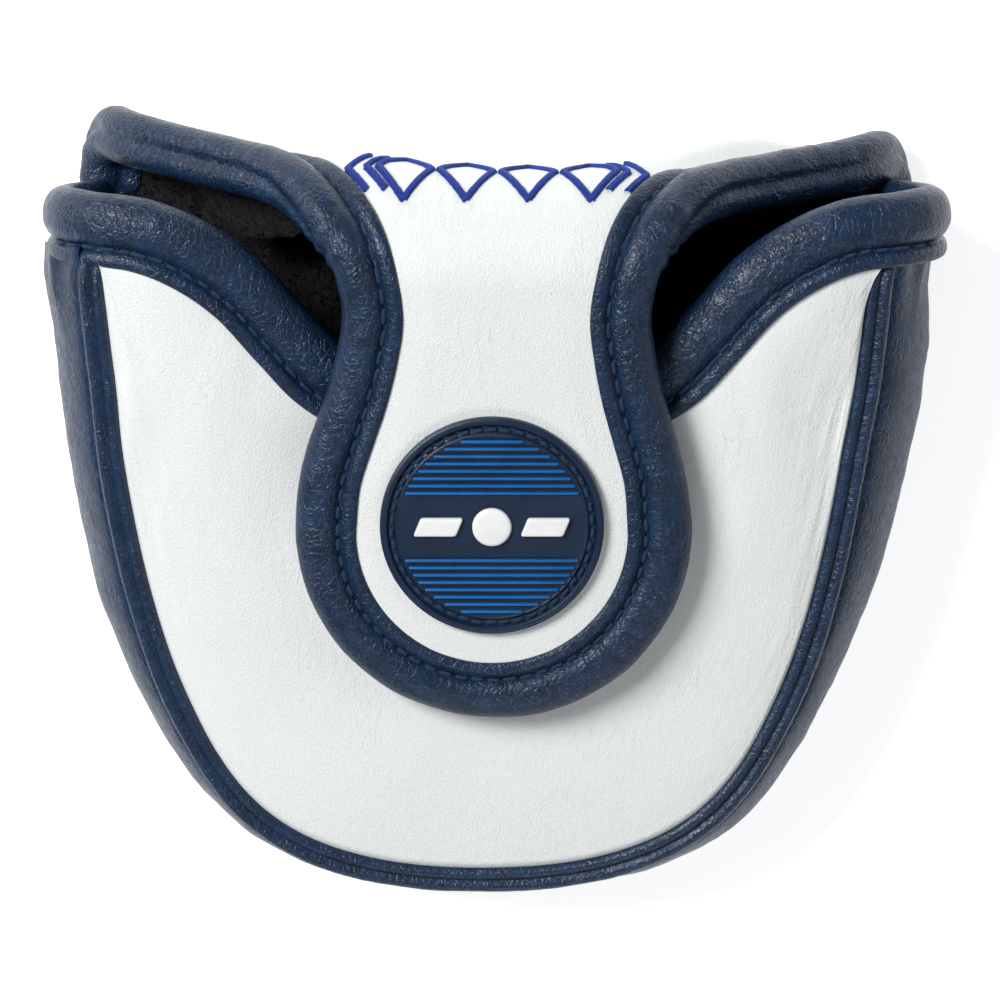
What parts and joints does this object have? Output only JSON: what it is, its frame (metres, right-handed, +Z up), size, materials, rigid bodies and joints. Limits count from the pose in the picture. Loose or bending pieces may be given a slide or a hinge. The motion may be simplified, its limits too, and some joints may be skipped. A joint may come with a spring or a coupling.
{
  "type": "putter head cover",
  "caption": "Padded D-shaped pouch for a mallet putter head, with an open mouth and a flap that folds over the mouth and closes on the sole side with magnets.",
  "frame": {"origin": "under the middle of the footprint, on the surface that the crown side lies on", "axes": "+Z up, out of the sole-side wall; +Y towards the mouth; +X towards the toe side"},
  "size_m": [0.146, 0.1282, 0.051],
  "materials": {
    "white_leather": "white leatherette with a fine pebbled grain, satin",
    "navy_leather": "navy leatherette with a crackled pebble grain, semi-gloss",
    "fleece_lining": "near-black brushed fleece, matte",
    "foam": "dark open-cell foam, hidden",
    "piping_cord": "pale twisted cord, hidden",
    "thread": "navy polyester sewing thread, slight sheen",
    "embroidery": "royal blue satin-stitch embroidery",
    "patch_rubber": "navy moulded rubber, matte",
    "blue_rubber": "bright blue moulded rubber, satin",
    "white_rubber": "white moulded rubber, satin",
    "magnet": "nickel-plated disc, hidden"
  },
  "bodies": {
    "pouch": {"crown_panel": "white_leather", "crown_padding": "foam", "crown_lining": "fleece_lining", "sole_panel": "white_leather", "sole_padding": "foam", "sole_lining": "fleece_lining", "sole_magnet": "magnet", "side_gusset": "navy_leather", "gusset_padding": "foam", "gusset_lining": "fleece_lining", "sole_piping": "navy_leather", "sole_piping_cord": "piping_cord", "crown_piping": "navy_leather", "crown_piping_cord": "piping_cord", "mouth_binding": "navy_leather", "mouth_binding_core": "foam", "mouth_binding_thread": "thread", "corner_binding_heel": "navy_leather", "corner_binding_core_heel": "foam", "corner_binding_toe": "navy_leather", "corner_binding_core_toe": "foam"},
    "flap_bridge": {"bridge_panel": "white_leather", "bridge_padding": "foam", "bridge_lining": "fleece_lining", "bridge_binding_heel": "navy_leather", "bridge_binding_core_heel": "foam", "bridge_binding_toe": "navy_leather", "bridge_binding_core_toe": "foam", "embroidery_motif": "embroidery"},
    "flap_tongue": {"tongue_panel": "white_leather", "tongue_padding": "foam", "tongue_lining": "fleece_lining", "tongue_binding": "navy_leather", "tongue_binding_core": "foam", "tongue_binding_thread": "thread", "flap_magnet": "magnet", "patch_base": "patch_rubber", "patch_thread": "thread", "patch_bars_upper": "blue_rubber", "patch_bars_lower": "blue_rubber", "patch_motif_ball": "white_rubber", "patch_motif_bar_heel": "white_rubber", "patch_motif_bar_toe": "white_rubber"}
  },
  "joints": [
    {"name": "flap_open", "type": "hinge", "parent": "pouch", "child": "flap_bridge", "pos_m": [0, 0.06092, 0.0125], "axis": [-1, 0, 0], "range_deg": [0, 90]},
    {"name": "flap_lift", "type": "hinge", "parent": "flap_bridge", "child": "flap_tongue", "pos_m": [0, 0.05068, 0.04626], "axis": [-1, 0, 0], "range_deg": [0, 75]}
  ]
}
